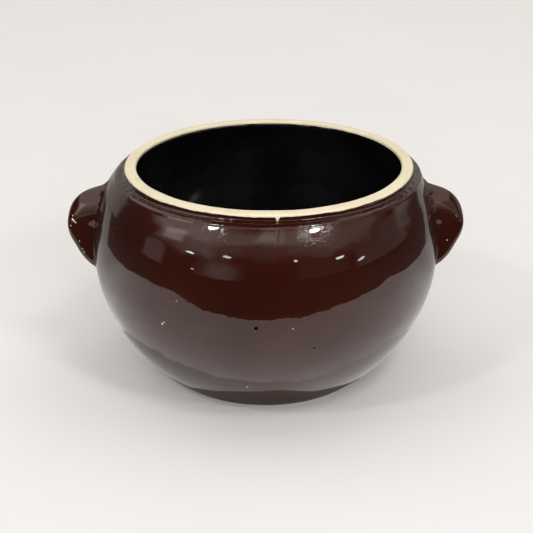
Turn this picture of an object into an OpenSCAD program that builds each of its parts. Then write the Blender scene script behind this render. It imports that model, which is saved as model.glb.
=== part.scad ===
// Squat stoneware crock bowl with two lug handles, a bare rim and a brown glaze.
// Origin at the middle of the foot, +Z up, +X through the right lug.

/* [Bowl] */
// Width of the bare clay at the widest line of the belly
belly_d = 203; // [190:1:220]
// Height from the table to the top of the rim
height = 131; // [122:1:140]
// Height of the widest line of the belly
belly_z = 79.5; // [74:0.5:84]
// Width of the outline where the wall meets the table
foot_d = 114; // [100:1:124]
// Turn of the wall from upright at the belly to its lean at the foot
foot_turn = 55; // [48:1:62]
// Thickness of the wall
wall_t = 7.5; // [5:0.5:9]
// Thickness of the floor over the foot recess
floor_t = 7; // [5:0.5:10]

/* [Rim] */
// Outer width of the rim collar
rim_d = 168.4; // [160:0.2:174]
// Width of the rim's top, from the collar to the mouth
rim_w = 6.7; // [5.5:0.1:9]
// Height of the upright lip inside the mouth
lip_h = 2.6; // [2:0.1:4]
// Height of the collar above the shoulder
collar_h = 5; // [4.5:0.1:7]
// How far the shoulder stands out from the collar
ledge_w = 4.1; // [3.6:0.1:6]
// Rounding of the shoulder where it turns in to the collar
shoulder_round = 3; // [1.5:0.1:3.2]
// Fillet between the shoulder and the collar
collar_fillet = 1.6; // [1:0.1:2]
// Rounding of the rim's outer edge
rim_outer_round = 0.9; // [0.5:0.1:1.5]
// Rounding of the rim's inner edge
rim_inner_round = 1.3; // [0.5:0.1:1.5]

/* [Foot] */
// Rounding where the wall turns under at the foot
foot_round = 5; // [3:0.5:6]
// Width of the flat ring that the bowl stands on
foot_ring_w = 9; // [6:0.5:14]
// Depth of the recess inside the ring
foot_recess = 1.8; // [1:0.1:3]
// Rounding where the floor meets the wall inside
floor_round = 24; // [16:1:30]

/* [Lugs] */
// How far a lug's bare clay stands out from the belly
lug_reach = 15; // [12:0.5:18]
// Height of the lugs' tips
lug_z = 95; // [92:0.5:98]
// Radius of a lug's outline at its tip, seen from the front
lug_tip_r = 19.5; // [17:0.5:21]
// Radius of a lug's outline towards the wall, seen from the front
lug_outline_r = 26; // [24:0.5:28]
// How far the middle of a lug's outline lies below its tip
lug_drop = 3.5; // [1:0.5:6]
// Depth of the middle of a lug's outline behind the widest line of the belly
lug_root_in = 14; // [12:0.5:16]
// Width of a lug across its crest, at the tip
lug_crest_w = 11; // [8:0.5:13]
// Depth of the round crest, from its top down on to the faces
lug_crest_r = 12; // [9:0.5:14]
// Growth of a lug's width for each millimetre from its tip towards the wall
lug_flare = 0.3; // [0.1:0.05:0.4]
// Growth of a lug's width for each millimetre from its crest down to its heel
lug_lean = 0.22; // [0.1:0.02:0.3]
// Radius of the heel's turns, seen from the front
lug_heel_r = 5; // [4:0.5:6]
// Rounding of the heel's corners
lug_heel_round = 2; // [1:0.25:3]
// Thickness of the slip bed under a lug
slip_t = 0.8; // [0.5:0.1:1.5]

/* [Glaze] */
// Thickness of the glaze
glaze_t = 0.5; // [0.3:0.1:0.8]
// Height of the bare band on the outside of the rim
bare_rim_h = 2.2; // [1.6:0.1:2.6]
// Clearance between the clay and what covers it
bond_gap = 0.08; // [0.05:0.01:0.15]

/* [Hidden] */

clay_colour = [0.91, 0.86, 0.72];
slip_colour = [0.82, 0.76, 0.62];
glaze_colour = [0.22, 0.10, 0.075];
lining_colour = [0.06, 0.045, 0.04];

round_steps = 128;
lug_steps = 32;
arc_step = 4;

rim_r = rim_d / 2;
mouth_r = rim_r - rim_w;
foot_r = foot_d / 2;
ledge_z = height - collar_h;

// Unit vector at an angle, and a point on a circle
function along(angle) = [cos(angle), sin(angle)];
function on_circle(centre, radius, angle) = centre + radius * along(angle);

// Points along an arc, from one angle to another
function arc(centre, radius, from, to) =
    let (steps = max(2, ceil(abs(to - from) / arc_step)))
    [for (i = [0:steps]) on_circle(centre, radius, from + (to - from) * i / steps)];

// Points of a list in the other order
function backwards(points) = [for (i = [len(points) - 1:-1:0]) points[i]];

// Radius of the arc that leaves a point square to a direction and ends at a second point
function next_radius(start, angle, end) =
    let (way = end - start)
    -(way * way) / (2 * (way * along(angle)));

// Centre of a rounding that lies inside an arc and touches the level line at a height.
// The side is 1 for a rounding under the line and -1 for one over it.
function rounding_centre(centre, radius, rounding, level, side) =
    let (z = level - side * rounding)
    [centre.x + sqrt(pow(radius - rounding, 2) - pow(z - centre.y, 2)), z];

// Angle from one point to another
function angle_to(from, to) = atan2(to.y - from.y, to.x - from.x);

// The wall's outline above the widest line: the shoulder and the collar
belly_r = belly_d / 2;
shoulder_r = next_radius([belly_r, belly_z], 0, [rim_r + ledge_w, ledge_z]);
shoulder_c = [belly_r - shoulder_r, belly_z];
shoulder_round_c = rounding_centre(shoulder_c, shoulder_r, shoulder_round, ledge_z, 1);
shoulder_stop = angle_to(shoulder_c, shoulder_round_c);
collar_fillet_c = [rim_r + collar_fillet, ledge_z + collar_fillet];

// The wall's outline below the widest line: two joined arcs, the lower belly and the base,
// which leave the belly upright and reach the foot at its lean, with equal tangents
belly_way = -along(90);
foot_way = -along(90 - foot_turn);
drop = [foot_r, 0] - [belly_r, belly_z];
drop_along = drop * (belly_way + foot_way);
spread = 1 - belly_way * foot_way;
tangent = (sqrt(pow(drop_along, 2) + 2 * spread * (drop * drop)) - drop_along) / (2 * spread);
lower_belly_end = [belly_r, belly_z] + tangent * belly_way;
base_begin = [foot_r, 0] - tangent * foot_way;
base_turn = 90 - angle_to(base_begin, lower_belly_end);
lower_belly_r = tangent / tan(base_turn / 2);
lower_belly_c = [belly_r - lower_belly_r, belly_z];
base_r = tangent / tan((foot_turn - base_turn) / 2);
base_c = on_circle(lower_belly_c, lower_belly_r - base_r, -base_turn);
foot_c = rounding_centre(base_c, base_r, foot_round, 0, -1);
base_stop = angle_to(base_c, foot_c);

// The inside of the wall, which closes in to the lip of the mouth
inside_z = foot_recess + floor_t;
floor_c = rounding_centre(base_c, base_r - wall_t, floor_round, inside_z, -1);
floor_stop = angle_to(base_c, floor_c);
inner_belly_r = belly_r - wall_t;
lip = [mouth_r, height - lip_h];
inner_shoulder_r = next_radius([inner_belly_r, belly_z], 0, lip);
inner_shoulder_c = [inner_belly_r - inner_shoulder_r, belly_z];
lip_angle = angle_to(inner_shoulder_c, lip);

// Outside of the wall from the foot to the collar's fillet, grown outwards
function outside(grow) = concat(
    arc(base_c, base_r + grow, base_stop, -base_turn),
    arc(lower_belly_c, lower_belly_r + grow, -base_turn, 0),
    arc(shoulder_c, shoulder_r + grow, 0, shoulder_stop),
    arc(shoulder_round_c, shoulder_round + grow, shoulder_stop, 90),
    arc(collar_fillet_c, collar_fillet - grow, -90, -180)
);

// Inside of the wall from the middle of the floor to the lip, shrunk inwards
function inside(shrink) = concat(
    [[0, inside_z + shrink]],
    arc(floor_c, floor_round - shrink, -90, floor_stop),
    arc(base_c, base_r - wall_t - shrink, floor_stop, -base_turn),
    arc(lower_belly_c, lower_belly_r - wall_t - shrink, -base_turn, 0),
    arc(inner_shoulder_c, inner_shoulder_r - shrink, 0, lip_angle)
);

// Top of the rim, from the outer edge to the mouth
function rim_top() = concat(
    arc([rim_r - rim_outer_round, height - rim_outer_round], rim_outer_round, 0, 90),
    arc([mouth_r + rim_inner_round, height - rim_inner_round], rim_inner_round, 90, 180)
);

// Underside, from the middle of the recess to the turn of the foot
function underside() = concat(
    [
        [0, foot_recess],
        [foot_c.x - foot_ring_w - foot_recess, foot_recess],
        [foot_c.x - foot_ring_w, 0]
    ],
    arc(foot_c, foot_round, -90, base_stop)
);

// Solid of the whole bowl's outline, without its hollow, grown outwards
module filled_bowl(grow) {
    rotate_extrude($fn = round_steps)
        polygon(concat(
            [[0, foot_c.y], foot_c],
            outside(grow),
            [[rim_r + grow, height], [0, height]]
        ));
}

// Middles of a lug's outline at its tip and towards the wall, and where its faces meet the crest
lug_tip_c = [belly_r + lug_reach - lug_tip_r, lug_z];
lug_root_c = [belly_r - lug_root_in, lug_z - lug_drop];
lug_face_top = lug_z + lug_tip_r - lug_crest_r;

// Turns of the heel along the lower side of the outline
heel_first = -28;
heel_last = -76;
heel_turns = 3;

// Width of a lug between its faces, at a place seen from the front
function lug_width(x, z) =
    lug_crest_w + lug_flare * (belly_r + lug_reach - x) + lug_lean * max(0, lug_face_top - z);

// Disc standing in the XZ plane, with an elliptic edge of a depth and a bulge
module lug_disc(radius, width, edge, bulge, grow) {
    for (side = [-1, 1])
        translate([0, side * (width / 2 - bulge), 0])
            rotate([90, 0, 0])
                rotate_extrude($fn = lug_steps)
                    intersection() {
                        translate([radius - edge, 0])
                            scale([edge + grow, bulge + grow])
                                circle(r = 1, $fn = lug_steps);
                        translate([0, -bulge - grow])
                            square([radius + grow, 2 * (bulge + grow)]);
                    }
}

// Disc with a round crest around one middle of the outline
module crest_disc(centre, radius, grow) {
    width = lug_width(centre.x + radius - lug_crest_r / 2, lug_face_top);
    translate([centre.x, 0, centre.y])
        lug_disc(radius, width, lug_crest_r, width / 2, grow);
}

// Turn of the heel at an angle on the outline
module heel_disc(angle, grow) {
    centre = on_circle(lug_root_c, lug_outline_r - lug_heel_r, angle);
    core = lug_heel_r - lug_heel_round;
    width = lug_width(centre.x + core, centre.y + core);
    translate([centre.x, 0, centre.y])
        lug_disc(lug_heel_r, width, lug_heel_round, lug_heel_round, grow);
}

// Ear-shaped lug on the +X side, round at its crest, thick at its heel and run back into the wall
module lug_block(grow = 0) {
    hull() {
        crest_disc(lug_tip_c, lug_tip_r, grow);
        crest_disc(lug_root_c, lug_outline_r, grow);
        for (i = [0:heel_turns - 1])
            heel_disc(heel_first + (heel_last - heel_first) * i / (heel_turns - 1), grow);
    }
}

// Lug above its slip bed
module lug() {
    color(clay_colour)
        difference() {
            lug_block();
            filled_bowl(slip_t + bond_gap);
        }
}

// Slip bed between the lug and the wall
module slip_bed() {
    color(slip_colour)
        intersection() {
            lug_block();
            difference() {
                filled_bowl(slip_t);
                filled_bowl(bond_gap);
            }
        }
}

// Bowl with its wall, floor, foot ring and bare rim
module clay_body() {
    color(clay_colour)
        rotate_extrude($fn = round_steps)
            polygon(concat(underside(), outside(0), rim_top(), backwards(inside(0))));
}

module left_lug() {
    mirror([1, 0, 0])
        lug();
}

module right_lug() {
    lug();
}

module left_lug_slip() {
    mirror([1, 0, 0])
        slip_bed();
}

module right_lug_slip() {
    slip_bed();
}

// Glaze on the wall alone, from the turn of the foot to the bare band of the rim
module wall_glaze() {
    rotate_extrude($fn = round_steps)
        polygon(concat(
            outside(glaze_t),
            [for (grow = [glaze_t, bond_gap]) [rim_r + grow, height - bare_rim_h]],
            backwards(outside(bond_gap))
        ));
}

// One coat over the wall and both lugs
module outer_glaze() {
    color(glaze_colour)
        union() {
            difference() {
                wall_glaze();
                for (side = [0, 1])
                    mirror([side, 0, 0])
                        lug_block(bond_gap);
            }
            for (side = [0, 1])
                mirror([side, 0, 0])
                    difference() {
                        lug_block(glaze_t);
                        lug_block(bond_gap);
                        filled_bowl(bond_gap);
                    }
        }
}

// Lining from the lip down over the floor
module inner_glaze() {
    color(lining_colour)
        rotate_extrude($fn = round_steps)
            polygon(concat(inside(bond_gap), backwards(inside(glaze_t))));
}

clay_body();
left_lug();
right_lug();
left_lug_slip();
right_lug_slip();
outer_glaze();
inner_glaze();
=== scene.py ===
"""Crock bowl: a squat glazed stoneware bowl with two ear lugs and a bare clay rim.

Shapes are worked out in millimetres, from the same sizes as the CAD source.
They become metres when a mesh is made.
"""

import math

import bpy
import numpy as np
from mathutils import Matrix, Vector


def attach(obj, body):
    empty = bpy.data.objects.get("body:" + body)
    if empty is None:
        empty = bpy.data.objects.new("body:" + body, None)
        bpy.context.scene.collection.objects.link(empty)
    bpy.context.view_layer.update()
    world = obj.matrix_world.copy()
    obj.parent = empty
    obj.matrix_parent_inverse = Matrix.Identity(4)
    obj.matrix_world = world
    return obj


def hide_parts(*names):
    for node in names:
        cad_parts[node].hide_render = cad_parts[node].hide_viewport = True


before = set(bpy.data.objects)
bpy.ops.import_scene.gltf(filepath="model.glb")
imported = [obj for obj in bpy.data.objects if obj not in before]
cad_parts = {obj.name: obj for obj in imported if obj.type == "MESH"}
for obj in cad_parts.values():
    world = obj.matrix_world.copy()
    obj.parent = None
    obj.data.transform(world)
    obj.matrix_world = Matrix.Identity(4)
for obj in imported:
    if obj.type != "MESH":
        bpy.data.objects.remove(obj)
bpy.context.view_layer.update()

MM = 0.001

# Sizes of the bowl, as in the CAD source
BELLY_R = 101.5
HEIGHT = 131.0
BELLY_Z = 79.5
FOOT_R = 57.0
FOOT_TURN = 55.0
WALL_T = 7.5
FLOOR_T = 7.0
RIM_R = 84.2
RIM_W = 6.7
LIP_H = 2.6
COLLAR_H = 5.0
LEDGE_W = 4.1
SHOULDER_ROUND = 3.0
COLLAR_FILLET = 1.6
RIM_OUTER_ROUND = 0.9
RIM_INNER_ROUND = 1.3
FOOT_ROUND = 5.0
FOOT_RING_W = 9.0
FOOT_RECESS = 1.8
FLOOR_ROUND = 24.0
LUG_REACH = 15.0
LUG_Z = 95.0
LUG_TIP_R = 19.5
LUG_OUTLINE_R = 26.0
LUG_DROP = 3.5
LUG_ROOT_IN = 14.0
LUG_LEAN = 0.22
LUG_HEEL_ROUND = 2.0
GLAZE_T = 0.5
BARE_RIM_H = 2.2
BOND_GAP = 0.08

# Marks of making and wear
LUG_FILLET = 1.0
LUG_FLARE = 0.25
LUG_CREST_FLARE = 0.6
LUG_RIDGE_W = 15.2
LUG_RIDGE_Z = 98.5
LUG_RIDGE_SOFT = 2.0
LUG_ROOF = 0.95
LUG_CREST_ROUND = 7.0
WAVINESS = 0.1
LUG_COVER = 0.85
RIM_DRIFT = 2.1
RIM_DRIFT_START = 113.0
RIM_DIP = 1.4
RIM_DIP_START = 113.0
SEAM_AZIMUTH = -87.0
SEAM_RIDGE = 0.1
SEAM_RIDGE_W = 1.4
NECK_REACH = 6.0
NECK_BLUR = 0.8
NECK_RUN = 0.14
NOTCH_HALF_W = 1.35
NOTCH_DEPTH = 3.0
EDGE_ROLL = 0.6
EDGE_RAGGED = 0.36
LINING_RISE = 1.0
GLAZE_RISE = 0.4
CHIP_CENTRE = (-113.7, -8.0, 97.9)
CHIP_R = 1.9
CHIP_DEPTH = 0.2
CHIP_BARE_SHARE = 0.26
PIT_CENTRE = (-5.5, -101.6, 70.3)
PIT_R = 1.2
PIT_DEPTH = 0.3
PIT_SHADE_SHARE = 0.65
SMALL_PIT_CENTRE = (26.3, -95.3, 55.4)
SMALL_PIT_R = 0.5
MOST_THIN = 0.39


def along(angle):
    a = np.radians(angle)
    return np.stack([np.cos(a), np.sin(a)], axis=-1)


def on_circle(centre, radius, angle):
    return np.asarray(centre) + np.asarray(radius)[..., None] * along(angle)


def angle_to(a, b):
    return math.degrees(math.atan2(b[1] - a[1], b[0] - a[0]))


def next_radius(start, angle, end):
    way = np.subtract(end, start)
    return -(way @ way) / (2 * (way @ along(angle)))


def rounding_centre(centre, radius, rounding, level, side):
    z = level - side * rounding
    return np.array([centre[0] + math.sqrt((radius - rounding) ** 2 - (z - centre[1]) ** 2), z])


# Tangent arcs of the wall: shoulder, lower belly and base, with their roundings
LEDGE_Z = HEIGHT - COLLAR_H
MOUTH_R = RIM_R - RIM_W
BELLY = np.array([BELLY_R, BELLY_Z])
shoulder_r = next_radius(BELLY, 0, (RIM_R + LEDGE_W, LEDGE_Z))
shoulder_c = np.array([BELLY_R - shoulder_r, BELLY_Z])
shoulder_round_c = rounding_centre(shoulder_c, shoulder_r, SHOULDER_ROUND, LEDGE_Z, 1)
shoulder_stop = angle_to(shoulder_c, shoulder_round_c)
collar_fillet_c = np.array([RIM_R + COLLAR_FILLET, LEDGE_Z + COLLAR_FILLET])
belly_way = -along(90)
foot_way = -along(90 - FOOT_TURN)
drop = np.array([FOOT_R, 0]) - BELLY
drop_along = drop @ (belly_way + foot_way)
spread = 1 - belly_way @ foot_way
tangent = (math.sqrt(drop_along**2 + 2 * spread * (drop @ drop)) - drop_along) / (2 * spread)
lower_belly_end = BELLY + tangent * belly_way
base_begin = np.array([FOOT_R, 0]) - tangent * foot_way
base_turn = 90 - angle_to(base_begin, lower_belly_end)
lower_belly_r = tangent / math.tan(math.radians(base_turn / 2))
lower_belly_c = np.array([BELLY_R - lower_belly_r, BELLY_Z])
base_r = tangent / math.tan(math.radians((FOOT_TURN - base_turn) / 2))
base_c = on_circle(lower_belly_c, lower_belly_r - base_r, -base_turn)
foot_c = rounding_centre(base_c, base_r, FOOT_ROUND, 0, -1)
base_stop = angle_to(base_c, foot_c)
inside_z = FOOT_RECESS + FLOOR_T
floor_c = rounding_centre(base_c, base_r - WALL_T, FLOOR_ROUND, inside_z, -1)
floor_stop = angle_to(base_c, floor_c)
inner_belly_r = BELLY_R - WALL_T
lip = np.array([MOUTH_R, HEIGHT - LIP_H])
inner_shoulder_r = next_radius((inner_belly_r, BELLY_Z), 0, lip)
inner_shoulder_c = np.array([inner_belly_r - inner_shoulder_r, BELLY_Z])
lip_angle = angle_to(inner_shoulder_c, lip)

# Profile lines: the spacing of their points, and how corners are blurred
FINE = 0.04
SAME_POINT = FINE / 50
LEAST_ARC_POINTS = 8
LEAST_LINE_POINTS = 3
BLUR_CORE = 0.6
BLUR_WIDTHS = 3


def arc(centre, radius, start, stop, facing=1):
    """Points of one arc with the way that the surface faces, a row of r, z, facing r, facing z each."""
    count = max(LEAST_ARC_POINTS, int(abs(math.radians(stop - start)) * radius / FINE))
    angles = np.linspace(start, stop, count)
    return np.hstack([on_circle(centre, np.full(count, radius), angles), facing * along(angles)])


def straight(start, end, facing):
    count = max(LEAST_LINE_POINTS, int(math.dist(start, end) / FINE))
    points = np.linspace(start, end, count)
    return np.hstack([points, np.tile(facing, (count, 1))])


class Profile:
    """A meridian line that can be read at any length along it, and set off by a thickness."""

    def __init__(self, *runs):
        table = np.vstack(runs)
        steps = np.hypot(*np.diff(table[:, :2], axis=0).T)
        keep = np.concatenate([[True], steps > SAME_POINT])
        self.table = table[keep]
        steps = np.hypot(*np.diff(self.table[:, :2], axis=0).T)
        self.marks = np.concatenate([[0], np.cumsum(steps)])
        self.length = self.marks[-1]

    def at(self, length):
        return [np.interp(length, self.marks, column) for column in self.table.T]

    def softened(self, offset, centre, reach, blur):
        """The line set off by a thickness, with its corners blurred within a reach of a length along it."""
        line = self.table[:, :2] + offset * self.table[:, 2:]
        share = 1 - smooth_step(BLUR_CORE * reach, reach, np.abs(self.marks - centre))
        even = np.arange(0, self.length, FINE)
        wide = int(BLUR_WIDTHS * blur / FINE)
        kernel = np.exp(-((np.arange(-wide, wide + 1) * FINE / blur) ** 2) / 2)
        soft = line.copy()
        for k in (0, 1):
            run = np.pad(np.interp(even, self.marks, line[:, k]), wide, mode="reflect", reflect_type="odd")
            run = np.convolve(run, kernel / kernel.sum(), mode="valid")
            soft[:, k] += share * (np.interp(self.marks, even, run) - line[:, k])
        way = np.gradient(soft, axis=0)
        way = way / np.maximum(np.linalg.norm(way, axis=-1, keepdims=True), SAME_POINT)
        made = Profile(self.table)
        made.table = np.hstack([soft, np.stack([way[:, 1], -way[:, 0]], axis=-1)])
        return made

    def length_at(self, r, z):
        return self.marks[np.argmin(np.hypot(self.table[:, 0] - r, self.table[:, 1] - z))]


outside = Profile(
    arc(base_c, base_r, base_stop, -base_turn),
    arc(lower_belly_c, lower_belly_r, -base_turn, 0),
    arc(shoulder_c, shoulder_r, 0, shoulder_stop),
    arc(shoulder_round_c, SHOULDER_ROUND, shoulder_stop, 90),
    straight((shoulder_round_c[0], LEDGE_Z), (collar_fillet_c[0], LEDGE_Z), (0, 1)),
    arc(collar_fillet_c, COLLAR_FILLET, -90, -180, -1),
    straight((RIM_R, collar_fillet_c[1]), (RIM_R, HEIGHT - RIM_OUTER_ROUND), (1, 0)),
)
inside = Profile(
    straight((0, inside_z), (floor_c[0], inside_z), (0, -1)),
    arc(floor_c, FLOOR_ROUND, -90, floor_stop),
    arc(base_c, base_r - WALL_T, floor_stop, -base_turn),
    arc(lower_belly_c, lower_belly_r - WALL_T, -base_turn, 0),
    arc(inner_shoulder_c, inner_shoulder_r, 0, lip_angle),
)
rim_top = Profile(
    arc((RIM_R - RIM_OUTER_ROUND, HEIGHT - RIM_OUTER_ROUND), RIM_OUTER_ROUND, 0, 90),
    straight((RIM_R - RIM_OUTER_ROUND, HEIGHT), (MOUTH_R + RIM_INNER_ROUND, HEIGHT), (0, 1)),
    arc((MOUTH_R + RIM_INNER_ROUND, HEIGHT - RIM_INNER_ROUND), RIM_INNER_ROUND, 90, 180),
    straight((MOUTH_R, HEIGHT - RIM_INNER_ROUND), lip, (-1, 0)),
)
ring_in = foot_c[0] - FOOT_RING_W
underside = Profile(
    straight((0, FOOT_RECESS), (ring_in - FOOT_RECESS, FOOT_RECESS), (0, -1)),
    straight((ring_in - FOOT_RECESS, FOOT_RECESS), (ring_in, 0), (-0.7, -0.7)),
    straight((ring_in, 0), (foot_c[0], 0), (0, -1)),
    arc(foot_c, FOOT_ROUND, -90, base_stop),
)


def smooth_step(low, high, value):
    t = np.clip((value - low) / (high - low), 0, 1)
    return t * t * (3 - 2 * t)


WAVE_COUNT = 14
WAVE_STRETCH = (0.7, 1.6)
BROAD_SHARE = 0.6


def waves(points, wavelength, seed):
    """Smooth noise of about -1 to 1: a seeded sum of plane waves."""
    draw = np.random.default_rng(seed)
    total = np.zeros(points.shape[:-1])
    for _ in range(WAVE_COUNT):
        way = draw.normal(size=3)
        way *= 2 * np.pi / (wavelength * draw.uniform(*WAVE_STRETCH) * np.linalg.norm(way))
        total += np.sin(points @ way + draw.uniform(0, 2 * np.pi))
    return np.clip(total / math.sqrt(2 * WAVE_COUNT), -1, 1)


def uneven(points, broad, fine, seed):
    """Broad and fine waves together, the broad ones a little stronger."""
    return BROAD_SHARE * waves(points, broad, seed) + (1 - BROAD_SHARE) * waves(points, fine, seed + 1)


def turn(r, z, azimuth):
    a = np.radians(azimuth)
    r, z, a = np.broadcast_arrays(r, z, a)
    return np.stack([r * np.cos(a), r * np.sin(a), z], axis=-1)


def away(azimuth, centre):
    """Signed angle from a centre azimuth, in degrees."""
    return (azimuth - centre + 180) % 360 - 180


def drift(points):
    """The rim sits a little right of the foot and dips in front, as on a bowl that leaned in the kiln."""
    moved = points.copy()
    moved[..., 0] += RIM_DRIFT * smooth_step(RIM_DRIFT_START, HEIGHT, points[..., 2])
    frontward = (1 - points[..., 1] / np.maximum(np.hypot(points[..., 0], points[..., 1]), 1)) / 2
    moved[..., 2] -= RIM_DIP * frontward * smooth_step(RIM_DIP_START, HEIGHT, points[..., 2])
    return moved


# Lug shape: an ear of two joined circles in side view, thick at its heel and round at its crest
TIP_C = np.array([BELLY_R + LUG_REACH - LUG_TIP_R, LUG_Z])
ROOT_C = np.array([BELLY_R - LUG_ROOT_IN, LUG_Z - LUG_DROP])
TINY = 1e-9
FACE_COS = 1 / math.hypot(1, math.hypot(LUG_LEAN, LUG_FLARE) / 2)


def body_distance(points):
    r, z = np.hypot(points[..., 0], points[..., 1]), points[..., 2]
    join = lower_belly_c[1] - lower_belly_r * math.sin(math.radians(base_turn))
    upper = np.hypot(r - shoulder_c[0], z - shoulder_c[1]) - shoulder_r
    lower = np.hypot(r - lower_belly_c[0], z - lower_belly_c[1]) - lower_belly_r
    base = np.hypot(r - base_c[0], z - base_c[1]) - base_r
    return np.where(z >= BELLY_Z, upper, np.where(z >= join, lower, base)) - GLAZE_T


def ear_distance(x, z):
    """Distance to the outline of two circles and their common tangents."""
    axis = TIP_C - ROOT_C
    span = math.hypot(*axis)
    axis = axis / span
    px, pz = x - ROOT_C[0], z - ROOT_C[1]
    up = px * axis[0] + pz * axis[1]
    side = np.abs(px * axis[1] - pz * axis[0])
    lean = (LUG_OUTLINE_R - LUG_TIP_R) / span
    straight_up = math.sqrt(1 - lean * lean)
    level = up * straight_up - side * lean
    flank = side * straight_up + up * lean - LUG_OUTLINE_R
    root_end = np.hypot(up, side) - LUG_OUTLINE_R
    tip_end = np.hypot(up - span, side) - LUG_TIP_R
    return np.where(level < 0, root_end, np.where(level > straight_up * span, tip_end, flank))


def lug_distance(points):
    """Distance to a glazed lug: its outline and two faces that lean up to a ridge and close in above it."""
    x, y, z = np.abs(points[..., 0]), np.abs(points[..., 1]), points[..., 2]
    over = (z - LUG_RIDGE_Z) / LUG_RIDGE_SOFT
    lean, roof = (LUG_RIDGE_SOFT * np.logaddexp(0, way * over) for way in (-1, 1))
    rise = smooth_step(LUG_RIDGE_Z - LUG_CREST_ROUND, LUG_RIDGE_Z + LUG_CREST_ROUND, z)
    flare = LUG_FLARE + (LUG_CREST_FLARE - LUG_FLARE) * rise
    flare = flare * np.maximum(BELLY_R + LUG_REACH - x, 0)
    half = (LUG_RIDGE_W + flare + LUG_LEAN * lean - LUG_ROOF * roof) / 2
    depth = LUG_HEEL_ROUND + (LUG_CREST_ROUND - LUG_HEEL_ROUND) * rise
    breadth = LUG_HEEL_ROUND + (np.maximum(half, LUG_HEEL_ROUND) - LUG_HEEL_ROUND) * rise
    outline, face = ear_distance(x, z), (y - half) * FACE_COS
    u, v = np.maximum(face / breadth + 1, 0), np.maximum(outline / depth + 1, 0)
    reach = np.hypot(u, v)
    slope = np.maximum(np.hypot(u / breadth, v / depth), TINY)
    near = np.where(reach > 0, (reach - 1) * reach / slope, np.maximum(outline, face))
    return near - GLAZE_T


def skin_distance(points):
    """Distance to the glazed wall and lugs, with a round fillet where they meet."""
    a, b = body_distance(points), lug_distance(points)
    near_a, near_b = np.maximum(LUG_FILLET - a, 0), np.maximum(LUG_FILLET - b, 0)
    return np.maximum(LUG_FILLET, np.minimum(a, b)) - np.hypot(near_a, near_b)


# Rays that find the lugs from inside the bowl
RAY_FROM = np.array([0, 0, 82.0])
RAY_REACH = 1.3
RAY_NEAR = 0.98
RAY_STEPS = 160
HALVINGS = 26
SLOPE_STEP = 0.02


def grow_lugs(points):
    """Moves wall points outward, along rays from inside the bowl, on to the lugs and their fillets."""
    way = points - RAY_FROM
    low, high = np.ones(points.shape[:-1]), np.full(points.shape[:-1], RAY_REACH)
    found = np.zeros(points.shape[:-1], bool)
    before = high.copy()
    for scale in np.linspace(RAY_REACH, RAY_NEAR, RAY_STEPS):
        hit = (skin_distance(RAY_FROM + way * scale) <= 0) & ~found
        low, high = np.where(hit, scale, low), np.where(hit, before, high)
        found |= hit
        before = np.full_like(before, scale)
    for _ in range(HALVINGS):
        middle = (low + high) / 2
        deep = skin_distance(RAY_FROM + way * middle[..., None]) <= 0
        low, high = np.where(deep, middle, low), np.where(deep, high, middle)
    return RAY_FROM + way * low[..., None]


def skin_facing(points):
    offsets = np.eye(3) * SLOPE_STEP
    slope = np.stack([skin_distance(points + d) - skin_distance(points - d) for d in offsets], axis=-1)
    return slope / np.linalg.norm(slope, axis=-1, keepdims=True)


def graded(spans):
    """Azimuths in degrees, from spans of start, stop and step."""
    runs = [np.arange(start, stop - step / 2, step) for start, stop, step in spans]
    return np.concatenate(runs)


# Columns of the coat by azimuth: start, stop and step, fine at the lugs, the chip, the pit and the seam
LUG_SPAN = 16.0
COLUMNS = graded(
    [
        (-LUG_SPAN, -8, 0.5),
        (-8, -2.6, 0.15),
        (-2.6, 2.6, 0.4),
        (2.6, 8, 0.15),
        (8, LUG_SPAN, 0.5),
        (LUG_SPAN, 180 - LUG_SPAN, 1.0),
        (180 - LUG_SPAN, 172, 0.5),
        (172, 177.4, 0.15),
        (177.4, 182.6, 0.2),
        (182.6, 188, 0.15),
        (188, 180 + LUG_SPAN, 0.5),
        (180 + LUG_SPAN, 266, 1.0),
        (266, 268, 0.1),
        (268, 272, 1.0),
        (272, 276, 0.1),
        (276, 360 - LUG_SPAN, 1.0),
    ]
)
ROW_STEP = 1.1
FINE_ROW = 0.2


def add_object(name, data):
    made = bpy.data.objects.new(name, data)
    bpy.context.scene.collection.objects.link(made)
    return made


def build_mesh(name, rings, first_pole=None, last_pole=None):
    """A closed mesh from rings: two poles close its ends, or else the last ring joins the first."""
    count, columns = rings.shape[:2]
    points = rings.reshape(-1, 3)
    i, j = np.meshgrid(np.arange(count), np.arange(columns), indexing="ij")
    after = (j + 1) % columns
    looped = first_pole is None
    if not looped:
        i, j, after = i[:-1], j[:-1], after[:-1]
    up = (i + 1) % count
    corners = [i * columns + j, i * columns + after, up * columns + after, up * columns + j]
    faces = np.stack(corners, axis=-1).reshape(-1, 4).tolist()
    if not looped:
        points = np.vstack([points, first_pole, last_pole])
        first, last = len(points) - 2, len(points) - 1
        end = (count - 1) * columns
        for k in range(columns):
            beside = (k + 1) % columns
            faces.append((first, beside, k))
            faces.append((last, end + k, end + beside))
    mesh = bpy.data.meshes.new(name)
    mesh.from_pydata((points * MM).tolist(), [], faces)
    mesh.polygons.foreach_set("use_smooth", np.ones(len(mesh.polygons), bool))
    mesh.update()
    return add_object(name, mesh)


# Glaze coat over the wall and both lugs
SHOULDER_END = outside.length_at(*on_circle(shoulder_c, shoulder_r, shoulder_stop))
NECK = outside.length_at(collar_fillet_c[0], LEDGE_Z)
NECK_CORE = 0.5
TOP_SHARE = 0.8
TOP_ROWS = 22
EDGE_ROWS = 14
PIT_ROWS_REACH = 1.5 * PIT_R
HIDDEN_ROW_STEP = 5
COAT_WAVE = 34
NECK_WAVES = (11, 4)
EDGE_WAVES = (16, 4.5)
LUG_BLEND = 3.0
DENT_FLOOR = 0.55
ROLL_FULL = 0.98
FULL_COAT = GLAZE_T - BOND_GAP


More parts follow.
